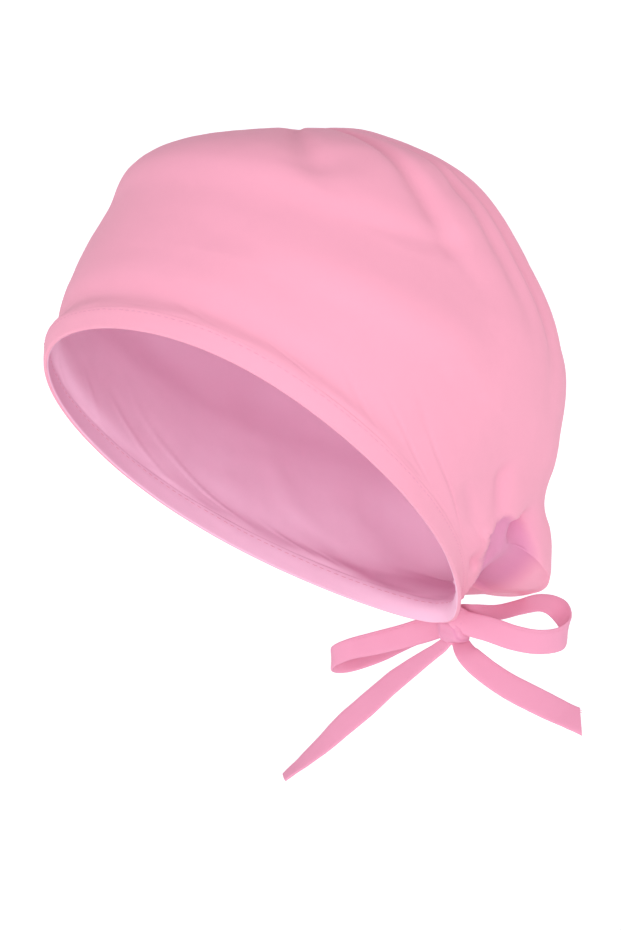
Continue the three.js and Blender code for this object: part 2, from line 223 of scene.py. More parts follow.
LEFT_TAIL = np.array([
    (-0.028, -0.02, 0, 70, 0.6),
    (-0.089, -0.037, -0.046, 66, 0.64),
    (-0.171, -0.075, -0.11, 56, 0.78),
    (-0.27, -0.14, -0.2, 50, 0.95),
    (-0.36, -0.21, -0.302, 44, 1.03),
    (-0.453, -0.282, -0.405, 46, 1.02),
    (-0.55, -0.358, -0.522, 56, 0.88),
    (-0.683, -0.46, -0.665, 76, 0.55),
])
RIGHT_TAIL = np.array([
    (0.03, 0.012, 0, 0, 0.72),
    (0.093, -0.002, -0.052, 0, 0.97),
    (0.174, 0.027, -0.119, 0, 1.06),
    (0.27, 0.076, -0.186, 0, 1.1),
    (0.377, 0.139, -0.247, 0, 1.14),
    (0.48, 0.197, -0.3, 0, 1.17),
    (0.582, 0.247, -0.345, 0, 1.2),
])

LOOP_ENDS_LEFT = (
    np.array([(0.12, 0.02, 0.02, 0, 0.8)]),
    np.array([(0.12, 0.05, 0.0, 0, 0.7)]),
)
LOOP_ENDS_RIGHT = (
    np.array([(-0.143, -0.05, 0.15, 0, 0.5), (-0.078, -0.088, 0.125, 0, 0.8)]),
    np.array([(-0.08, 0.02, 0.13, 0, 0.6), (-0.17, -0.03, 0.1, 0, 0.5)]),
)
TAIL_ENDS = (np.array([(0, 0, 0.05, 0, 0.6)]), np.empty((0, 5)))


# Finishes


@dataclass(frozen=True)
class ClothFinish:
    """Look of one cloth; lengths are in metres."""

    name: str
    base: tuple
    # Colour of the painted shade in folds and recesses, and of the darker threads of the weave
    deep: tuple
    roughness: float = 0.88
    sheen: float = 0.12
    thread_pitch: float = 0.00042
    weave_bump: float = 0.16
    mottle_size: float = 0.028
    mottle: float = 0.035
    # Lighter colour painted on the inner face, as light that reaches inside the cap
    painted_inner_light: tuple = (0.95, 0.575, 0.74)
    # How far the painted shade goes towards the deep colour
    painted_shade_strength: float = 0.8


@dataclass(frozen=True)
class PlainFinish:
    """Look of a plain matte surface."""

    name: str
    base: tuple
    roughness: float = 0.9
    # Painted glow: low_glow at low_end and below, rising to glow at high_end, heights in metres
    glow: float = 0.0
    low_glow: float = 0.0
    low_end: float = -0.99
    high_end: float = -0.85


# The second colour of each cloth is its painted shade and the colour of its darker weave threads
COTTON = ClothFinish("pink_cotton", (0.9, 0.385, 0.505), (0.66, 0.23, 0.42))
TIE_COTTON = ClothFinish("pink_tie_cotton", (0.84, 0.355, 0.5), (0.68, 0.25, 0.43), mottle_size=0.012)
THREAD = PlainFinish("pink_thread", (0.86, 0.36, 0.5), 0.7)
# The floor glows faintly and its sweep glows more: painted light that lights the cap
STUDIO_WHITE = PlainFinish("studio_white", (0.93, 0.93, 0.93), glow=0.34, low_glow=0.1)

BLACK = (0.0, 0.0, 0.0, 1.0)
WHITE = (1.0, 1.0, 1.0, 1.0)

Value = Union["Socket", float, int, Sequence[float], None]


class Graph:
    """Makes and links the nodes of one node tree."""

    def __init__(self, tree: bpy.types.NodeTree) -> None:
        self.tree = tree

    def feed(self, target: bpy.types.NodeSocket, value: Value) -> None:
        """Gives a node input a link or a value.

        Args:
            target: The input.
            value: A Socket to link, or a plain value; None leaves the input alone.
        """
        if isinstance(value, Socket):
            self.tree.links.new(value.socket, target)
        elif value is not None:
            target.default_value = value

    def make(self, kind: str, inputs: Optional[dict] = None, output: Union[int, str] = 0,
             **settings: object) -> "Socket":
        """Adds one node.

        Args:
            kind: The node's type name.
            inputs: Input name or number to value.
            output: The output that is returned.
            settings: Attributes of the node.

        Returns:
            The chosen output, wrapped.
        """
        node = self.tree.nodes.new(kind)
        for name, value in settings.items():
            setattr(node, name, value)
        for key, value in (inputs or {}).items():
            self.feed(node.inputs[key], value)
        return Socket(self, node.outputs[output])

    def mix(self, factor: Value, a: Value, b: Value) -> "Socket":
        """Mixes two colours.

        Args:
            factor: Share of b.
            a: First colour.
            b: Second colour.

        Returns:
            The mixed colour.
        """
        node = self.tree.nodes.new("ShaderNodeMix")
        node.data_type = "RGBA"
        for index, value in ((0, factor), (6, a), (7, b)):
            self.feed(node.inputs[index], value)
        return Socket(self, node.outputs[2])


class Socket:
    """A node output that takes part in plain arithmetic."""

    def __init__(self, graph: Graph, socket: bpy.types.NodeSocket) -> None:
        self.graph = graph
        self.socket = socket

    def _math(self, operation: str, *values: Value) -> "Socket":
        return self.graph.make("ShaderNodeMath", dict(enumerate(values)), operation=operation)

    def __add__(self, other: Value) -> "Socket":
        return self._math("ADD", self, other)

    def __sub__(self, other: Value) -> "Socket":
        return self._math("SUBTRACT", self, other)

    def __mul__(self, other: Value) -> "Socket":
        return self._math("MULTIPLY", self, other)

    def __truediv__(self, other: Value) -> "Socket":
        return self._math("DIVIDE", self, other)

    def __pow__(self, other: Value) -> "Socket":
        return self._math("POWER", self, other)

    def sine(self) -> "Socket":
        """Sine of the value, in radians."""
        return self._math("SINE", self)

    def size(self) -> "Socket":
        """The value without its sign."""
        return self._math("ABSOLUTE", self)

    def parts(self) -> tuple:
        """X, Y and Z of a vector, each wrapped."""
        node = self.graph.tree.nodes.new("ShaderNodeSeparateXYZ")
        self.graph.feed(node.inputs[0], self)
        return tuple(Socket(self.graph, out) for out in node.outputs)


def new_material(name: str) -> tuple:
    """Makes an empty node material.

    Args:
        name: The material's name.

    Returns:
        The material, its graph and its principled shader node.
    """
    material = bpy.data.materials.new(name)
    material.use_nodes = True
    material.node_tree.nodes.clear()
    graph = Graph(material.node_tree)
    shader = material.node_tree.nodes.new("ShaderNodeBsdfPrincipled")
    graph.make_output = material.node_tree.nodes.new("ShaderNodeOutputMaterial")
    material.node_tree.links.new(shader.outputs[0], graph.make_output.inputs[0])
    return material, graph, shader


def plain_material(finish: PlainFinish) -> bpy.types.Material:
    """Makes a plain matte material with a little fibre in it, and a painted glow that rises with height
    where the finish has one.

    Args:
        finish: Its values.

    Returns:
        The material.
    """
    material, graph, shader = new_material(finish.name)
    place = graph.make("ShaderNodeTexCoord", output="Object")
    grain = graph.make("ShaderNodeTexNoise", {"Vector": place, "Scale": 900.0, "Detail": 2.0})
    base = (*finish.base, 1.0)
    darker = (*[0.9 * c for c in finish.base], 1.0)
    amount = 1.0 if finish is THREAD else 0.0
    graph.feed(shader.inputs["Base Color"], graph.mix(grain * amount, base, darker))
    shader.inputs["Roughness"].default_value = finish.roughness
    shader.inputs["Specular IOR Level"].default_value = 0.2
    # Painted glow that rises with height
    rise = graph.make("ShaderNodeMapRange", {
        "Value": place.parts()[2], "From Min": finish.low_end, "From Max": finish.high_end,
        "To Min": finish.low_glow, "To Max": finish.glow,
    })
    graph.feed(shader.inputs["Emission Color"], graph.mix(rise, BLACK, WHITE))
    shader.inputs["Emission Strength"].default_value = 1.0 if finish.glow else 0.0
    return material


def cloth_material(finish: ClothFinish) -> bpy.types.Material:
    """Makes a matte cotton with a fine plain weave, with painted shade in its folds and a painted
    lighter inner face.

    Args:
        finish: Its values.

    Returns:
        The material.
    """
    material, graph, shader = new_material(finish.name)
    place = graph.make("ShaderNodeTexCoord", output="Object")
    x, y, z = place.parts()
    facing = graph.make("ShaderNodeNewGeometry", output="Normal").parts()
    turns = 2.0 * math.pi / finish.thread_pitch
    lift = None
    for across, along, normal in ((y, z, facing[0]), (x, z, facing[1]), (x, y, facing[2])):
        crossing = (across * turns).sine() * (along * turns).sine()
        part = crossing * (normal.size() ** 2.0)
        lift = part if lift is None else lift + part
    slub = graph.make("ShaderNodeTexNoise", {"Vector": place, "Scale": 520.0, "Detail": 3.0})
    mottle = graph.make(
        "ShaderNodeTexNoise",
        {"Vector": place, "Scale": 1.0 / finish.mottle_size, "Detail": 3.0, "Roughness": 0.45},
    )
    # Painted shade, a point attribute from 0 to 1, deepest in folds, creases and inside the crown
    painted_shade = graph.make("ShaderNodeAttribute", output="Fac", attribute_name="painted_shade")
    # Marks the inner face, which is painted lighter
    inner = graph.make("ShaderNodeAttribute", output="Fac", attribute_name="painted_inner_light")
    base = (*finish.base, 1.0)
    deep = (*finish.deep, 1.0)
    pale = (*[min(1.0, 1.05 * c) for c in finish.base], 1.0)
    # Inner face painted lighter
    with_painted_inner_light = graph.mix(inner, base, (*finish.painted_inner_light, 1.0))
    # Painted shade, mixed towards the deep colour
    with_painted_shade = graph.mix(painted_shade * finish.painted_shade_strength, with_painted_inner_light, deep)
    patchy = graph.mix(mottle * finish.mottle * 4.0, with_painted_shade, pale)
    threads = graph.mix((lift + slub) * 0.05 + 0.02, patchy, deep)
    graph.feed(shader.inputs["Base Color"], threads)
    graph.feed(shader.inputs["Roughness"], slub * 0.08 + (finish.roughness - 0.04))
    bump = graph.make(
        "ShaderNodeBump",
        {"Strength": finish.weave_bump, "Distance": 0.00012, "Height": lift * 0.5 + slub * 0.8},
    )
    graph.feed(shader.inputs["Normal"], bump)
    shader.inputs["Specular IOR Level"].default_value = 0.18
    shader.inputs["Sheen Weight"].default_value = finish.sheen
    shader.inputs["Sheen Roughness"].default_value = 0.55
    shader.inputs["Sheen Tint"].default_value = (1.0, 0.86, 0.92, 1.0)
    return material


# Form


def smooth(low: float, high: float, value: np.ndarray) -> np.ndarray:
    """Soft step from 0 at low to 1 at high."""
    share = np.clip((value - low) / (high - low), 0, 1)
    return share * share * (3 - 2 * share)


def along_rows(rows: np.ndarray, place: np.ndarray) -> np.ndarray:
    """Smooth curve through a table's rows.

    Args:
        rows: The table.
        place: Row numbers, whole or between rows.

    Returns:
        One row for each place.
    """
    last = len(rows) - 1
    i = np.clip(np.floor(place).astype(int), 0, last - 1)
    u = (place - i)[:, None]
    here, after = rows[i], rows[i + 1]
    leave = (after - rows[np.maximum(i - 1, 0)]) / 2
    arrive = (rows[np.minimum(i + 2, last)] - here) / 2
    return ((2 * u**3 - 3 * u**2 + 1) * here + (u**3 - 2 * u**2 + u) * leave
            + (3 * u**2 - 2 * u**3) * after + (u**3 - u**2) * arrive)


def unit(vectors: np.ndarray) -> np.ndarray:
    """Vectors with length one."""
    return vectors / np.maximum(np.linalg.norm(vectors, axis=-1, keepdims=True), 1e-9)


def rumple(points: np.ndarray, seed: int, waves: int, shortest: float, longest: float) -> np.ndarray:
    """Soft seeded unevenness from a sum of waves in space.

    Args:
        points: Places in millimetres.
        seed: Seed of the waves.
        waves: How many.
        shortest: Shortest wavelength in millimetres.
        longest: Longest wavelength in millimetres.

    Returns:
        Values of about -1 to 1.
    """
    rng = np.random.default_rng(seed)
    total = np.zeros(points.shape[:-1])
    for _ in range(waves):
        way = unit(rng.normal(size=3)) * (2 * math.pi / rng.uniform(shortest, longest))
        total += np.sin(points @ way + rng.uniform(0, 2 * math.pi))
    return total / math.sqrt(waves * 2)


class CapForm:
    """The crown's form as a function of section level and angle from the front."""

    def plain(self, level: np.ndarray, angle: np.ndarray) -> np.ndarray:
        """Smooth outer form without folds, one row of points for each level."""
        row = along_rows(SECTIONS, np.asarray(level, float))
        (front_y, front_z, back_y, back_z, half, shift, sag, lean, taper, squared, nose,
         pouch_x, pouch_y, pouch_z) = (row[:, k][:, None] for k in range(row.shape[1]))
        a = np.asarray(angle, float)[None, :]
        c, s = np.cos(a), np.sin(a)
        back = (1 - c) / 2
        off = np.abs(np.degrees(a) - 180)
        near = 1 - smooth(CAP.pouch_inner, CAP.pouch_outer, off)
        far = 1 - smooth(CAP.pouch_far_inner, CAP.pouch_far_outer, off)
        pouch = np.where(s < 0, far, near)
        oval = 1 + taper * c - squared * np.cos(2 * a) + nose * np.cos(3 * a)
        spread = pouch_x * pouch * np.sign(s) * smooth(0, 30, off)
        x = (half * s * oval / (1 + squared) + spread) * CAP.half_width
        y = ((front_y + (back_y - front_y) * back + pouch_y * pouch) * CAP.length
             + shift * s * s * CAP.half_width)
        leaning = lean * np.minimum(s, 0) * back**1.5
        z = (front_z + (back_z - front_z) * back - sag * s * s + leaning + pouch_z * pouch) * CAP.height
        return np.stack([x, y, z], -1)

    def outward(self, form, level: np.ndarray, angle: np.ndarray) -> np.ndarray:
        """Outward directions of a form at levels and angles."""
        step = 0.02
        level = np.asarray(level, float)
        rise = (form(np.minimum(level + step, TOP_LEVEL - 0.01), angle)
                - form(np.maximum(level - step, 0), angle))
        turn = form(level, angle + step) - form(level, angle - step)
        return unit(np.cross(turn, rise))

    def lines(self, table: Sequence, level: np.ndarray, angle: np.ndarray, scale: float) -> np.ndarray:
        """Depth of the folds that run from one level and angle to another."""
        level = np.asarray(level, float)[:, None]
        degrees = np.degrees(np.asarray(angle, float))[None, :]
        far_side = degrees > 180
        place = np.where(far_side, 360 - degrees, degrees)
        depth = np.zeros(np.broadcast(level, degrees).shape)
        for level_0, angle_0, level_1, angle_1, width, deep, far in table:
            share = (level - level_0) / (level_1 - level_0)
            inside = (share > 0) & (share < 1)
            centre = angle_0 + (angle_1 - angle_0) * share
            side = (np.exp(-(((place - centre) / width) ** 2))
                    + np.exp(-(((360 - place - centre) / width) ** 2)))
            fade = np.where(inside, np.sin(np.pi * np.clip(share, 0, 1)) ** 1.2, 0)
            depth += deep * scale * np.where(far_side, far, 1) * fade * side
        return depth

    def nape_depth(self, points: np.ndarray) -> np.ndarray:
        """Depth of the nape folds at points."""
        depth = np.zeros(points.shape[:-1])
        for *ends, width, deep, far in NAPE_FOLDS:
            for side in (1, -1):
                a = np.array([side * ends[0], ends[1], ends[2]]) * SPREAD
                b = np.array([side * ends[3], ends[4], ends[5]]) * SPREAD
                share = np.clip(((points - a) @ (b - a)) / ((b - a) @ (b - a)), 0, 1)
                nearest = a + share[..., None] * (b - a)
                distance = np.linalg.norm(points - nearest, axis=-1) / (width * CAP.half_width)
                strength = 1 if side > 0 else far
                depth += deep * CAP.half_width * strength * np.exp(-distance**2)
        return depth

    def tuck(self, points: np.ndarray) -> np.ndarray:
        """Share of the tuck's full depth at points: 1 inside its outline and 0 well outside."""
        corners = TUCK[:, :3] * SPREAD
        along = unit(corners[1] - corners[0])
        normal = unit(np.cross(along, corners[3] - corners[0]))
        across = np.cross(normal, along)
        flat = np.stack([(points - corners[0]) @ along, (points - corners[0]) @ across], -1)
        outline = np.stack([(corners - corners[0]) @ along, (corners - corners[0]) @ across], -1)
        middle = outline.mean(axis=0)
        share = 1 - smooth(0.5, 1.0, np.abs((points - corners[0]) @ normal) / CAP.tuck_reach)
        for index, soft in enumerate(TUCK[:, 3]):
            start, end = outline[index], outline[(index + 1) % len(outline)]
            inward = unit(np.array([start[1] - end[1], end[0] - start[0]]))
            inward = inward * np.sign((middle - start) @ inward)
            share = share * smooth(-soft / 2, soft, (flat - start) @ inward)
        return share

    def fold_depth(self, level: np.ndarray, angle: np.ndarray) -> np.ndarray:
        """Depth of all the solid's folds, faded out towards the band."""
        points = self.plain(level, angle)
        depth = self.lines(GATHERS, level, angle, CAP.half_width) + self.nape_depth(points)
        fade = smooth(BAND_LEVEL, BAND_LEVEL + CAP.fold_fade, np.asarray(level, float))
        return depth * fade[:, None]

    def skin(self, level: np.ndarray, angle: np.ndarray) -> np.ndarray:
        """Outer form with the solid's gathers and folds."""
        points = self.plain(level, angle)
        inward = unit(np.array(CAP.heart) * SPREAD - points)
        return points + inward * self.fold_depth(level, angle)[..., None]

    def cloth(self, level: np.ndarray, angle: np.ndarray) -> np.ndarray:
        """Outer form with the fine creases and unevenness of real cloth as well."""
        points = self.skin(level, angle)
        level = np.asarray(level, float)
        normals = self.outward(self.skin, level, angle)
        fade = smooth(BAND_LEVEL, BAND_LEVEL + 0.35, level)[:, None]
        fine = self.lines(CREASES, level, angle, 1.0)
        fine = fine + 0.34 * rumple(points, 3, 14, 24, 60) * fade
        fine = fine + 0.07 * rumple(points, 11, 12, 7, 13) * fade
        hem = np.exp(-(((level - 1.02) / 0.22) ** 2))[:, None]
        fine = fine + 0.16 * rumple(points, 5, 10, 5, 11) * hem
        fine = fine + CAP.tuck_depth * self.tuck(points)
        return points - normals * fine[..., None]

    def angles(self, count: int) -> np.ndarray:
        """Angles round the cap, crowded towards the nape."""
        even = np.linspace(0, 2 * np.pi, count, endpoint=False)
        return even + CAP.crowding * np.sin(even)


# Meshes


def ring_faces(rings: int, count: int, closed: bool) -> list:
    """Quads between rings of points.

    Args:
        rings: Number of rings.
        count: Points in each ring.
        closed: True joins the last ring to the first.

    Returns:
        Faces as lists of point numbers.
    """
    r = np.arange(rings if closed else rings - 1)[:, None]
    i = np.arange(count)[None, :]
    j = (i + 1) % count
    low, high = r * count, ((r + 1) % rings) * count
    return np.stack([low + i, low + j, high + j, high + i], -1).reshape(-1, 4).tolist()


def solid(rings: np.ndarray, closed: bool = False, caps: bool = True) -> tuple:
    """Closed body from rings, its open ends shut by fans.

    Args:
        rings: Points, ring by ring.
        closed: True joins the last ring to the first.
        caps: True shuts both ends.

    Returns:
        Points and faces.
    """
    count = rings.shape[1]
    points = rings.reshape(-1, 3)
    faces = ring_faces(len(rings), count, closed)
    if caps and not closed:
        points = np.vstack([points, rings[0].mean(0), rings[-1].mean(0)])
        base = (len(rings) - 1) * count
        for i in range(count):
            j = (i + 1) % count
            faces.append([len(points) - 2, j, i])
            faces.append([base + i, base + j, len(points) - 1])
    return points, faces


def make_piece(name: str, points: np.ndarray, faces: list, material: bpy.types.Material,
               painted_shade: Optional[np.ndarray] = None,
               painted_inner_light: Optional[np.ndarray] = None) -> bpy.types.Object:
    """Makes one mesh object from points in millimetres.

    Args:
        name: The piece's name.
        points: Its points.
        faces: Its faces.
        material: Its material.
        painted_shade: Painted shade at each point, from 0 to 1, deepest in folds, for the material.
        painted_inner_light: 1 at each point of the inner face, which is painted lighter, and 0
            elsewhere, for the material.

    Returns:
        The object, linked into the scene.
    """
    mesh = bpy.data.meshes.new(name)
    mesh.from_pydata((np.asarray(points) * METRES).tolist(), [], faces)
    for key, given in (("painted_shade", painted_shade), ("painted_inner_light", painted_inner_light)):
        values = np.zeros(len(mesh.vertices)) if given is None else given
        mesh.attributes.new(key, "FLOAT", "POINT").data.foreach_set("value", values)
    mesh.polygons.foreach_set("use_smooth", [True] * len(mesh.polygons))
    mesh.materials.append(material)
    mesh.update()
    piece = bpy.data.objects.new(name, mesh)
    bpy.context.scene.collection.objects.link(piece)
    return piece


def settle(piece: bpy.types.Object, *nodes: str) -> bpy.types.Object:
    """Gives a piece its body and hides the CAD nodes that it stands for.

    Args:
        piece: The piece.
        nodes: CAD nodes that it replaces.

    Returns:
        The piece.
    """
    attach(piece, "root")
    if nodes:
        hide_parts(*nodes)
    log.info("%s: %d faces", piece.name, len(piece.data.polygons))
    return piece


class Stitching:
    """Top stitching as short capsules along a line, made by Geometry Nodes."""

    def __init__(self, sizes: StitchSizes, material: bpy.types.Material) -> None:
        self.sizes = sizes
        self.material = material
        self.group = self._build_group()

    def _build_group(self) -> bpy.types.NodeTree:
        group = bpy.data.node_groups.new("top_stitching", "GeometryNodeTree")
        face = group.interface
        for name, kind in (("Geometry", "NodeSocketGeometry"), ("Spacing", "NodeSocketFloat"),
                           ("Length", "NodeSocketFloat"), ("Thickness", "NodeSocketFloat"),
                           ("Jitter", "NodeSocketFloat"), ("Seed", "NodeSocketInt"),
                           ("Material", "NodeSocketMaterial")):
            face.new_socket(name, in_out="INPUT", socket_type=kind)
        face.new_socket("Geometry", in_out="OUTPUT", socket_type="NodeSocketGeometry")
        graph = Graph(group)
        entry = group.nodes.new("NodeGroupInput")
        given = {out.name: Socket(graph, out) for out in entry.outputs if out.name}
        curve = graph.make("GeometryNodeMeshToCurve", {0: given["Geometry"]})
        spread = group.nodes.new("GeometryNodeCurveToPoints")
        spread.mode = "LENGTH"
        graph.feed(spread.inputs["Curve"], curve)
        graph.feed(spread.inputs["Length"], given["Spacing"])
        ball = graph.make("GeometryNodeMeshUVSphere", {"Segments": 8, "Rings": 7, "Radius": 0.5})
        scale = graph.make(
            "ShaderNodeCombineXYZ",
            {"X": given["Thickness"], "Y": given["Thickness"], "Z": given["Length"]},
        )
        stitch = graph.make("GeometryNodeTransform", {"Geometry": ball, "Scale": scale})
        placed = graph.make(
            "GeometryNodeInstanceOnPoints",
            {"Points": Socket(graph, spread.outputs["Points"]), "Instance": stitch,
             "Rotation": Socket(graph, spread.outputs["Rotation"])},
        )
        low = given["Jitter"] * -1.0
        sway = graph.make("FunctionNodeRandomValue", {"Seed": given["Seed"]}, data_type="FLOAT_VECTOR")
        random_node = sway.socket.node
        for index, value in ((0, low), (1, given["Jitter"])):
            spin = graph.make("ShaderNodeCombineXYZ", {"X": value, "Y": value, "Z": 0.0})
            graph.feed(random_node.inputs[index], spin)
        swayed = graph.make("GeometryNodeRotateInstances", {"Instances": placed, "Rotation": sway})
        real = graph.make("GeometryNodeRealizeInstances", {"Geometry": swayed})
        shaded = graph.make("GeometryNodeSetShadeSmooth", {"Geometry": real})
        done = graph.make("GeometryNodeSetMaterial", {"Geometry": shaded, "Material": given["Material"]})
        finish = group.nodes.new("NodeGroupOutput")
        graph.feed(finish.inputs[0], done)
        return group

    def run(self, name: str, lines: Sequence[np.ndarray], closed: bool) -> bpy.types.Object:
        """Sews along lines.

        Args:
            name: Name of the piece.
            lines: Each a row of points in millimetres.
            closed: True joins each line's end to its start.

        Returns:
            The stitches as one mesh object.
        """
        points, edges = [], []
        for line in lines:
            start = len(points)
            points.extend((np.asarray(line) * METRES).tolist())
            edges.extend([start + i, start + i + 1] for i in range(len(line) - 1))
            if closed:
                edges.append([len(points) - 1, start])
        mesh = bpy.data.meshes.new(name)
        mesh.from_pydata(points, edges, [])
        piece = bpy.data.objects.new(name, mesh)
        bpy.context.scene.collection.objects.link(piece)
        modifier = piece.modifiers.new("stitching", "NODES")
        modifier.node_group = self.group
        values = {
            "Spacing": self.sizes.spacing * METRES, "Length": self.sizes.length * METRES,
            "Thickness": self.sizes.thickness * METRES, "Jitter": self.sizes.jitter,
            "Seed": self.sizes.seed, "Material": self.material,
        }
        for item in self.group.interface.items_tree:
            if item.in_out == "INPUT" and item.name in values:
                modifier[item.identifier] = values[item.name]
        shown = piece.evaluated_get(bpy.context.evaluated_depsgraph_get())
        made = bpy.data.meshes.new_from_object(shown)
        piece.modifiers.clear()
        piece.data = made
        return piece


# Sub-assemblies


@dataclass
class Crown:
    """Gathered crown as one closed shell of cloth."""

    form: CapForm
    material: bpy.types.Material
    around: int = 360
    start: float = 0.9

    def build(self) -> bpy.types.Object:
        """Makes the crown.

        Returns:
            The crown object.
        """
        angle = self.form.angles(self.around)
        spans = ((self.start, 1.4, 14), (1.4, 4.5, 72), (4.5, 9, 60), (9, 9.93, 10))
        outer_levels = np.unique(np.concatenate([np.linspace(*span) for span in spans]))
        inner_levels = outer_levels[::2]
        outer = self.form.cloth(outer_levels, angle)
        inner_face = self.form.cloth(inner_levels, angle)
        inner = inner_face - self.form.outward(self.form.skin, inner_levels, angle) * CAP.wall
        top = self.form.cloth(np.array([9.97]), angle).mean(axis=1)
        rings = np.concatenate([inner[::-1], outer])
        points, faces = solid(rings, caps=False)
        points = np.vstack([points, top, top - UP * CAP.wall])
        base = (len(rings) - 1) * self.around
        for i in range(self.around):
            j = (i + 1) % self.around
            faces.append([base + i, base + j, len(points) - 2])
            faces.append([j, i, len(points) - 1])
        skin = self.form.skin(outer_levels, angle)
        # Painted shade on the outer face: a little along the nape folds and full over the tuck
        painted_shade = 0.2 * np.clip(self.form.nape_depth(skin) / 5.0, 0, 1)
        painted_shade = np.maximum(painted_shade, self.form.tuck(skin))
        flat = np.zeros(inner.shape[:2])
        # Painted shade on the inner face, growing towards the top of the crown, and a little at its top
        # point
        painted_inner_shade = 0.24 * smooth(2.5, 6.0, inner_levels)[::-1, None] + flat
        shares = np.append(np.concatenate([painted_inner_shade, painted_shade]).ravel(), [0, 0.3])
        # The inner face is painted lighter all over, its top point too
        painted_inner_light = np.append(np.concatenate([flat + 1, painted_shade * 0]).ravel(), [0, 1])
        piece = make_piece("crown_cloth", points, faces, self.material, shares, painted_inner_light)
        return settle(piece, "crown")


@dataclass
class RimBand:
    """Turned and stitched hem along the whole rim."""

    form: CapForm
    material: bpy.types.Material
    around: int = 300

    def face_line(self, level: float, face: Face, count: int = 400, proud: float = 0.0) -> np.ndarray:
        """A line along the rim on one face of the band.

        Args:
            level: Section level.
            face: Which face.
            count: Number of points.
            proud: Height over that face in millimetres.

        Returns:
            Points in millimetres.
        """
        angle = self.form.angles(count)
        lift = CAP.band_proud + proud
        if face is Face.INNER:
            lift = -CAP.wall - CAP.band_proud - proud
        return self._at(np.array([level]), np.array([lift]), angle)[0]

    def _at(self, levels: np.ndarray, lifts: np.ndarray, angle: np.ndarray) -> np.ndarray:
        plain = self.form.plain(levels, angle)
        normals = self.form.outward(self.form.plain, levels, angle)
        pucker = 0.12 * rumple(plain, 5, 10, 5, 11) * smooth(0.1, 0.85, levels)[:, None]
        soft = 0.25 * rumple(plain, 21, 8, 22, 48)
        return plain + normals * (lifts[:, None, None] - (pucker + soft * 0.4)[..., None])

    def build(self) -> bpy.types.Object:
        """Makes the band.

        Returns:
            The band object.
        """
        angle = self.form.angles(self.around)
        half = CAP.wall / 2
        radius = half + CAP.band_proud
        rows = [(1.0, radius - 0.3), (1.0, radius - 0.08), (0.985, radius)]
        rows += [(level, radius) for level in np.linspace(0.95, 0.13, 14)]
        for turn in np.linspace(0, math.pi, 11)[1:-1]:
            rows.append((0.13 - 0.13 * math.sin(turn), radius * math.cos(turn)))
        rows += [(level, -radius) for level in np.linspace(0.13, 0.95, 14)]
        rows += [(0.985, -radius), (1.0, -radius + 0.08), (1.0, -radius + 0.3)]
        table = np.array(rows)
        rings = self._at(table[:, 0], table[:, 1] - half, angle)[::-1]
        points, faces = solid(rings, closed=True)
        # The band's inner face is painted lighter, like the crown's
        painted_inner_light = np.repeat(table[::-1, 1] < -0.4 * radius, self.around).astype(float)
        piece = make_piece("rim_band", points, faces, self.material, painted_inner_light=painted_inner_light)
        return settle(piece, "rim_binding")


def knot_centre(form: CapForm) -> np.ndarray:
    """Middle of the knot, in millimetres."""
    nape = form.plain(np.array([0.0]), np.array([math.pi]))[0, 0]
    behind = 1.2 * CAP.cad_proud + CAP.seat_gap + TIE.knot_half[1]
    return np.array([TIE.knot_offset, nape[1] + behind, nape[2] - TIE.knot_drop])


@dataclass
class Knot:
    """The bow's knot: a rounded bundle with a wrap round its middle."""

    centre: np.ndarray
    material: bpy.types.Material
    rows: int = 56
    spokes: int = 88

    def build(self) -> bpy.types.Object:
        """Makes the knot.

        Returns:
            The knot object.
        """
        lift = np.linspace(-math.pi / 2, math.pi / 2, self.rows + 2)[1:-1][:, None]
        turn = np.linspace(0, 2 * math.pi, self.spokes, endpoint=False)[None, :]

        def power(value: np.ndarray, exponent: float) -> np.ndarray:
            return np.sign(value) * np.abs(value) ** exponent

        flat = power(np.cos(lift), 0.6)
        way = np.stack(np.broadcast_arrays(
            flat * power(np.cos(turn), 0.6), flat * power(np.sin(turn), 0.75), power(np.sin(lift), 0.6)
        ), -1)
        local = way * np.array(TIE.knot_half)
        x = local[..., 0] + 0.35 * local[..., 2]
        wrap = 0.55 * (1 - smooth(3.2, 4.2, np.abs(x)))
        grooves = 0.3 * np.cos(x * 2.4 + 0.6 * np.sin(local[..., 2])) * smooth(3.6, 5.0, np.abs(x))
        folds = 0.22 * np.sin(local[..., 2] * 1.5 + 0.8 * x) * (1 - smooth(3.0, 4.0, np.abs(x)))
        outward = unit(way)
        rings = self.centre + local * 1.03 + outward * (wrap + grooves + folds - 0.2)[..., None]
        points, faces = solid(rings)
        # Painted shade: a little over the whole knot and more in the creases either side of its wrap
        seam = np.clip(smooth(2.8, 3.8, np.abs(x)) * (1 - smooth(3.9, 5.0, np.abs(x))), 0, 1)
        painted_shade = np.append(0.22 + 0.45 * seam.ravel(), [0.2, 0.2])
        return settle(make_piece("bow_knot", points, faces, self.material, painted_shade), "knot")


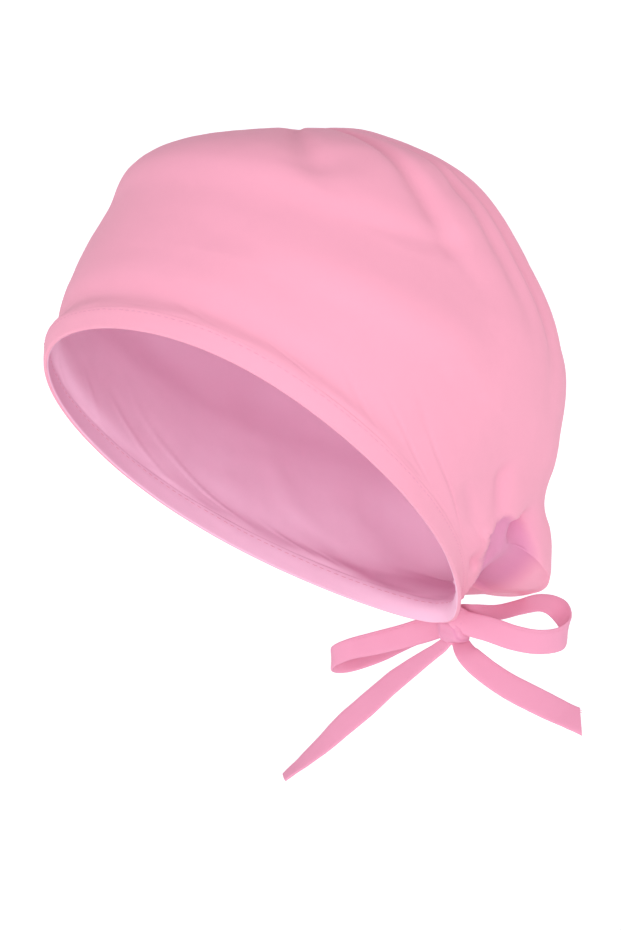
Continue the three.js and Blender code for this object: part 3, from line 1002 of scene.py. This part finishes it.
@dataclass
class Tie:
    """One flat tie: a pressed tube of cloth along a route from the knot."""

    name: str
    node: str
    route: np.ndarray
    anchor: np.ndarray
    reach: float
    reference: np.ndarray
    end: End
    start_way: Optional[np.ndarray]
    end_way: Optional[np.ndarray]
    end_cut: Optional[np.ndarray] = None
    steps: int = 150
    spokes: int = 20

    def _at(self, place: np.ndarray) -> np.ndarray:
        return along_rows(self.route, place)[:, :3] * self.reach + self.anchor

    def frames(self, count: int) -> tuple:
        """Centre points, ways, sides, faces and half widths along the tie.

        Args:
            count: Number of places.

        Returns:
            Five arrays, one row for each place.
        """
        last = len(self.route) - 1
        place = np.linspace(0, last, count)
        row = along_rows(self.route, place)
        way = unit(self._at(np.minimum(place + 0.05, last)) - self._at(np.maximum(place - 0.05, 0)))
        for index, fixed in ((0, self.start_way), (-1, self.end_way)):
            if fixed is not None:
                way[index] = fixed
        if self.start_way is not None:
            ease = smooth(0, 0.6, place)[:, None]
            way = unit(self.start_way * (1 - ease) + way * ease)
        if self.end_way is not None:
            ease = smooth(last - 0.6, last, place)[:, None]
            way = unit(self.end_way * ease + way * (1 - ease))
        side = unit(self.reference - way * (way @ self.reference)[:, None])
        turn = np.radians(row[:, 3])[:, None]
        side = side * np.cos(turn) + np.cross(way, side) * np.sin(turn)
        return self._at(place), way, side, np.cross(way, side), TIE.width * row[:, 4] / 2

    def length(self) -> float:
        """Length along the middle, in metres."""
        middle = self.frames(400)[0]
        return float(np.linalg.norm(np.diff(middle, axis=0), axis=1).sum()) * METRES

    def edge_lines(self, inset: float, proud: float) -> list:
        """Lines for stitches near one edge, on both faces."""
        middle, _, side, face, half = self.frames(120)
        across = (half - inset)[:, None]
        lift = TIE.thickness / 2 * 0.86 + proud
        keep = slice(6, -5)
        return [(middle + side * across + face * sign * lift)[keep] for sign in (1, -1)]

    def build(self, material: bpy.types.Material, knot: bpy.types.Object,
              sewing: Stitching) -> bpy.types.Object:
        """Args:
            material: Its cloth.
            knot: The knot that it leaves; not used.
            sewing: Makes its edge stitches.

        Returns:
            The tie object.
        """
        middle, way, side, face, half = self.frames(self.steps)
        round_turn = np.linspace(0, 2 * math.pi, self.spokes, endpoint=False)
        across = np.sign(np.cos(round_turn)) * np.abs(np.cos(round_turn)) ** 0.45
        through = np.sign(np.sin(round_turn)) * np.abs(np.sin(round_turn)) ** 0.7
        waver = 1 + 0.02 * rumple(middle, 9, 6, 12, 30)
        rings = (middle[:, None, :]
                 + side[:, None, :] * (half * waver)[:, None, None] * across[None, :, None]
                 + face[:, None, :] * (TIE.thickness / 2) * through[None, :, None])
        if self.end_cut is not None:
            last = len(self.route) - 1
            ease = smooth(last - 0.6, last, np.linspace(0, last, self.steps))[:, None]
            square = np.where(ease > 0, (way @ self.end_cut)[:, None], 1.0)
            slide = ((rings - middle[:, None, :]) @ self.end_cut) / square * ease
            rings = rings - way[:, None, :] * slide[..., None]
        ripple = 0.1 * rumple(rings, 13, 8, 5, 14) + 0.12 * rumple(rings, 17, 5, 14, 30)
        rings = rings + face[:, None, :] * ripple[..., None]
        points, faces = solid(rings)
        piece = settle(make_piece(self.name, points, faces, material), self.node)
        seam = sewing.run(self.name + "_stitches", self.edge_lines(1.3, 0.0), closed=False)
        settle(seam)
        tuple(middle[0] * METRES)
        self.length()
        (self.frames(60)[0] * METRES).tolist()
        return piece


@dataclass(frozen=True)
class Lamp:
    """One soft light, placed by its direction from the cap."""

    name: str
    azimuth: float
    elevation: float
    distance: float
    size: float
    power: float
    colour: tuple


LAMPS = (
    Lamp("key_light", 95, 38, 1.8, 1.4, 5.0, (1.0, 0.975, 0.95)),
    Lamp("fill_light", 8, 20, 1.9, 1.6, 3.6, (0.98, 0.97, 1.0)),
    Lamp("mouth_light", 40, -12, 1.6, 1.0, 7.6, (0.96, 0.97, 1.0)),
)


def direction(azimuth: float, elevation: float) -> Vector:
    """Unit vector from the cap towards a viewer at that azimuth and elevation in degrees."""
    a, e = math.radians(azimuth), math.radians(elevation)
    return Vector((math.sin(a) * math.cos(e), -math.cos(a) * math.cos(e), math.sin(e)))


@dataclass
class Studio:
    """Camera, soft lights, pale floor and the sweep round it."""

    azimuth: float = 48.0
    elevation: float = 2.0
    distance: float = 1.18465
    lens: float = 120.55
    shift: tuple = (0.0312, 0.0104)
    floor_z: float = -1.0
    radius: float = 3.2
    rim_height: float = 2.0
    bend: float = 0.9
    world: tuple = (0.96, 0.955, 1.0)
    world_strength: float = 0.53

    def make_camera(self) -> bpy.types.Object:
        """Makes the camera at the photograph's viewing angle.

        Returns:
            The camera object.
        """
        data = bpy.data.cameras.new("photo_camera")
        data.lens = self.lens
        data.sensor_width = 36.0
        data.shift_x, data.shift_y = self.shift
        data.clip_start, data.clip_end = 0.05, 50.0
        camera = bpy.data.objects.new("photo_camera", data)
        bpy.context.scene.collection.objects.link(camera)
        back = direction(self.azimuth, self.elevation)
        camera.rotation_mode = "QUATERNION"
        camera.location = back * self.distance
        camera.rotation_quaternion = (-back).to_track_quat("-Z", "Y")
        bpy.context.scene.camera = camera
        log.info("camera: azimuth %.0f, elevation %.0f", self.azimuth, self.elevation)
        return camera

    def make_lights(self) -> None:
        """Makes the area lights and the even light all round."""
        for lamp in LAMPS:
            data = bpy.data.lights.new(lamp.name, "AREA")
            data.shape = "DISK"
            data.size = lamp.size
            data.energy = lamp.power
            data.color = lamp.colour
            light = bpy.data.objects.new(lamp.name, data)
            bpy.context.scene.collection.objects.link(light)
            way = direction(lamp.azimuth, lamp.elevation)
            light.location = way * lamp.distance
            light.rotation_mode = "QUATERNION"
            light.rotation_quaternion = (-way).to_track_quat("-Z", "Y")
        world = bpy.data.worlds.new("soft_world")
        world.use_nodes = True
        background = world.node_tree.nodes["Background"]
        background.inputs["Color"].default_value = (*self.world, 1.0)
        background.inputs["Strength"].default_value = self.world_strength
        bpy.context.scene.world = world

    def make_floor(self) -> bpy.types.Object:
        """Makes the round floor that sweeps up at its edge.

        Returns:
            The floor object.
        """
        profile = [(r, 0.0) for r in np.linspace(0.02, self.radius - self.bend, 8)]
        for turn in np.linspace(0, math.pi / 2, 12)[1:]:
            profile.append((self.radius - self.bend + self.bend * math.sin(turn),
                            self.bend * (1 - math.cos(turn))))
        profile.append((self.radius, self.rim_height))
        spin = np.linspace(0, 2 * math.pi, 96, endpoint=False)
        rings = np.array([[(r * math.cos(a), r * math.sin(a), self.floor_z + z) for a in spin]
                          for r, z in profile]) / METRES
        points, faces = solid(rings[::-1], caps=False)
        faces.append(list(range((len(rings) - 1) * len(spin), len(rings) * len(spin))))
        floor = make_piece("studio_floor", points, faces, plain_material(STUDIO_WHITE))
        return floor


def joined(ends: tuple, route: np.ndarray) -> np.ndarray:
    """A tie's route with the short ends that lie inside the knot."""
    return np.vstack([ends[0], route, ends[1]])


def make_ties(form: CapForm, centre: np.ndarray) -> list:
    """The four free ends of the bow.

    Args:
        form: The cap's form.
        centre: Middle of the knot.

    Returns:
        The ties, not built yet.
    """
    beside = RIGHT * (TIE.knot_half[0] + CAP.seat_gap)
    below = DOWN * (TIE.knot_half[2] + CAP.seat_gap)
    return [
        Tie("bow_loop_left", "loop_left", joined(LOOP_ENDS_LEFT, LEFT_LOOP), centre - beside,
            TIE.loop_reach, UP, End.KNOT, LEFT, RIGHT),
        Tie("bow_loop_right", "loop_right", joined(LOOP_ENDS_RIGHT, RIGHT_LOOP), centre + beside,
            TIE.loop_reach, UP, End.KNOT, None, None),
        Tie("tie_tail_left", "tail_left", joined(TAIL_ENDS, LEFT_TAIL), centre + below,
            TIE.tail_reach, ACROSS, End.BARE, DOWN, None),
        Tie("tie_tail_right", "tail_right", joined(TAIL_ENDS, RIGHT_TAIL), centre + below,
            TIE.tail_reach, ACROSS, End.BARE, DOWN, None, unit(ACROSS)),
    ]


def main() -> None:
    """Builds the whole scene."""
    studio = Studio()
    studio.make_camera()
    form = CapForm()
    cotton = cloth_material(COTTON)
    tie_cotton = cloth_material(TIE_COTTON)
    thread = plain_material(THREAD)
    centre = knot_centre(form)
    knot = Knot(centre, tie_cotton).build()
    sewing = Stitching(StitchSizes(spacing=2.6, length=1.9, thickness=0.24), thread)
    for tie in make_ties(form, centre):
        made = tie.build(tie_cotton, knot, sewing)
        log.info("%s is %.1f mm long", made.name, tie.length() / METRES)
    crown = Crown(form, cotton).build()
    band = RimBand(form, cotton)
    rim = band.build()
    hem_sewing = Stitching(StitchSizes(), thread)
    lines = [band.face_line(0.84, face, proud=-0.05) for face in Face]
    hem = settle(hem_sewing.run("hem_stitches", lines, closed=True))
    studio.make_lights()
    studio.make_floor()
    bpy.context.scene.view_settings.view_transform = "Standard"


if __name__ == "__main__":
    main()
